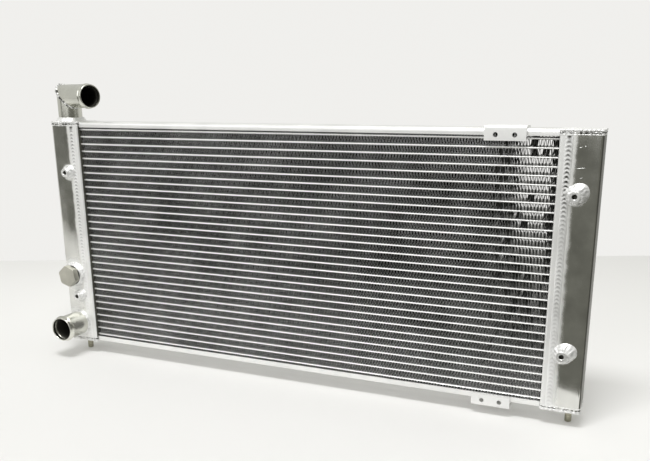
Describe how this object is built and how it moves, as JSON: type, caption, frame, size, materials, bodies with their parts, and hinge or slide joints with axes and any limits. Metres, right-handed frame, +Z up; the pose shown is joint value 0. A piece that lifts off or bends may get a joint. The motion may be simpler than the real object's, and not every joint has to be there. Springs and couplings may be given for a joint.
{
  "type": "car radiator",
  "caption": "All-aluminium crossflow car radiator: flat tubes and fins between two welded end tanks, hose pipes, drain plug, brackets, bosses and locating pins.",
  "frame": {"origin": "midway between the tips of the two locating pins, at the core's mid depth", "axes": "+X along the tubes towards the plain tank, +Y through the core away from the side with the outlet, the plug and the bosses, +Z up"},
  "size_m": [0.7443, 0.0838, 0.3925],
  "materials": {
    "tube": "satin, brazed",
    "fin": "satin, thin foil",
    "sheet": "mill finish, lightly brushed",
    "bracket": "satin",
    "pipe": "bright drawn tube",
    "boss": "turned, with weld round its foot",
    "plug": "dull milled",
    "washer": "matte black rubber",
    "pin": "turned"
  },
  "bodies": {
    "radiator": {"tube_01": "tube", "tube_02": "tube", "tube_03": "tube", "tube_04": "tube", "tube_05": "tube", "tube_06": "tube", "tube_07": "tube", "tube_08": "tube", "tube_09": "tube", "tube_10": "tube", "tube_11": "tube", "tube_12": "tube", "tube_13": "tube", "tube_14": "tube", "tube_15": "tube", "tube_16": "tube", "tube_17": "tube", "tube_18": "tube", "tube_19": "tube", "tube_20": "tube", "tube_21": "tube", "tube_22": "tube", "tube_23": "tube", "tube_24": "tube", "tube_25": "tube", "tube_26": "tube", "tube_27": "tube", "tube_28": "tube", "tube_29": "tube", "tube_30": "tube", "tube_31": "tube", "fin_pack": "fin", "header_left": "sheet", "header_right": "sheet", "tank_left": "sheet", "tank_right": "sheet", "cap_left_top": "sheet", "cap_left_bottom": "sheet", "cap_right_top": "sheet", "cap_right_bottom": "sheet", "baffle": "sheet", "side_channel_top": "sheet", "side_channel_bottom": "sheet", "bracket_top": "bracket", "bracket_bottom": "bracket", "inlet_stub": "pipe", "inlet_pipe": "pipe", "outlet_pipe": "pipe", "plug_seat": "boss", "boss_left_top": "boss", "boss_left_bottom": "boss", "boss_right_top": "boss", "boss_right_bottom": "boss", "pin_left": "pin", "pin_right": "pin"},
    "washer": {"plug_washer": "washer"},
    "plug": {"hex_plug": "plug"}
  },
  "joints": [
    {"name": "plug_travel", "type": "slide", "parent": "radiator", "child": "washer", "axis": [0, -1, 0], "range_m": [0, 0.0135]},
    {"name": "plug_turn", "type": "hinge", "parent": "washer", "child": "plug", "pos_m": [-0.3535, -0.0215, 0.121], "axis": [0, -1, 0], "range_deg": [0, 3240]}
  ],
  "couplings": [
    {"joint": "plug_turn", "follows": "plug_travel", "rad_per_m": 4188.8}
  ]
}
